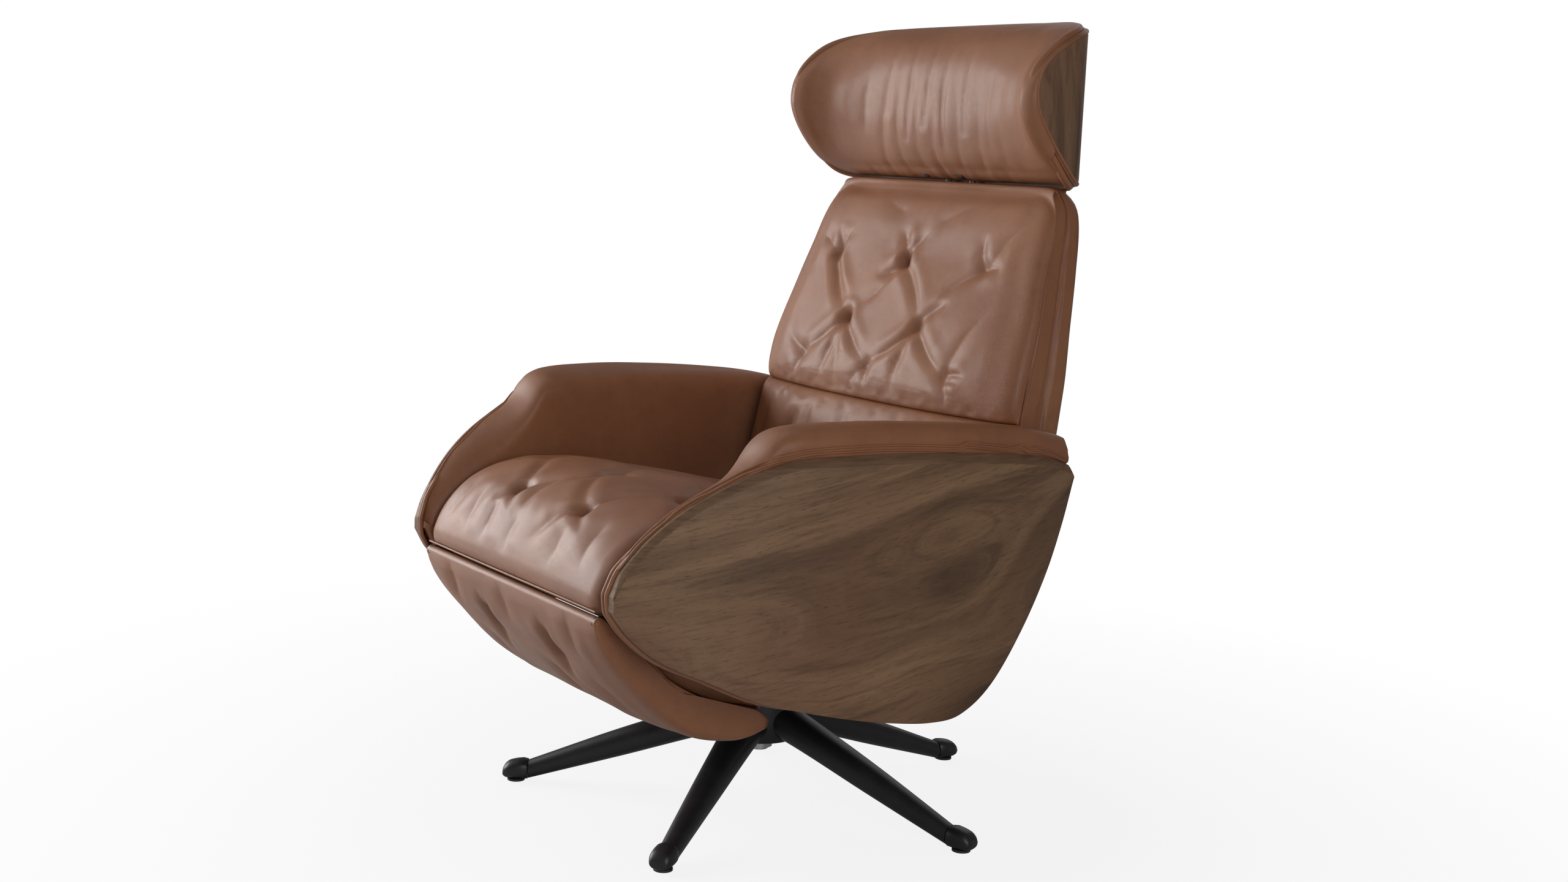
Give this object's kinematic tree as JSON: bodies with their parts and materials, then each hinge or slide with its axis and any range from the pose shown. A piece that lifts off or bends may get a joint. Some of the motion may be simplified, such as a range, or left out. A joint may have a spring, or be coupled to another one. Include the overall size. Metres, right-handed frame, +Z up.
{
  "type": "recliner",
  "caption": "Swivel recliner on a star base, with walnut side panels, tufted leather seat and back, a leg rest tucked under the seat and a winged headrest.",
  "frame": {"origin": "on the floor, on the swivel axis", "axes": "+Z up, -Y towards the front of the chair, +X to the right as seen from the front"},
  "size_m": [0.7678, 0.803, 1.1394],
  "materials": {
    "leather": "satin",
    "walnut": "satin",
    "plywood": "matte",
    "black_board": "matte",
    "black_metal": "satin",
    "steel": "satin",
    "glide_plastic": "matte"
  },
  "bodies": {
    "base": {"star_base": "black_metal", "foot_caps": "black_metal", "foot_glides": "glide_plastic", "column_tube": "black_metal", "thrust_bearing": "steel", "column_shroud": "black_metal"},
    "chassis": {"swivel_spindle": "steel", "spindle_clip": "steel", "swivel_plate": "black_metal", "side_plates": "black_metal", "cross_tubes": "black_metal", "panel_flanges": "black_metal", "panel_screws": "steel", "left_side_panel": "walnut", "right_side_panel": "walnut", "left_arm_pad": "leather", "right_arm_pad": "leather", "slide_rails": "steel", "rear_apron": "black_board", "gas_spring_cylinder": "black_metal"},
    "seat": {"slide_runners": "steel", "seat_deck": "plywood", "gas_spring_rod": "steel", "leg_rest_hinge_plates": "black_metal", "leg_rest_pins": "steel", "back_brackets": "black_metal", "back_pins": "steel", "seat_cushion": "leather"},
    "leg_rest": {"leg_rest_board": "plywood", "leg_rest_cushion": "leather"},
    "back": {"back_board": "plywood", "back_lugs": "black_metal", "back_cushion": "leather", "lumbar_cushion": "leather", "back_cover": "leather", "headrest_guides": "black_metal"},
    "headrest_carriage": {"headrest_posts": "steel"},
    "headrest": {"headrest_mount": "black_metal", "headrest_shell": "walnut", "headrest_cushion": "leather"}
  },
  "joints": [
    {"name": "swivel", "type": "hinge", "parent": "base", "child": "chassis", "pos_m": [0, 0, 0.2], "axis": [0, 0, 1], "continuous": true},
    {"name": "seat_slide", "type": "slide", "parent": "chassis", "child": "seat", "axis": [0, -1, 0], "range_m": [0, 0.04]},
    {"name": "recline", "type": "hinge", "parent": "seat", "child": "back", "pos_m": [0, 0.15, 0.385], "axis": [-1, 0, 0], "range_deg": [0, 35]},
    {"name": "leg_rest_swing", "type": "hinge", "parent": "seat", "child": "leg_rest", "pos_m": [0, -0.417, 0.351], "axis": [-1, 0, 0], "range_deg": [0, 122]},
    {"name": "headrest_height", "type": "slide", "parent": "back", "child": "headrest_carriage", "axis": [0, 0.2773, 0.9608], "range_m": [0, 0.06]},
    {"name": "headrest_tilt", "type": "hinge", "parent": "headrest_carriage", "child": "headrest", "pos_m": [0, 0.29839, 0.9225], "axis": [1, 0, 0], "range_deg": [0, 18]}
  ],
  "couplings": [
    {"joint": "seat_slide", "follows": "recline", "m_per_rad": 0.0654},
    {"joint": "leg_rest_swing", "follows": "recline", "ratio": 3.485}
  ]
}
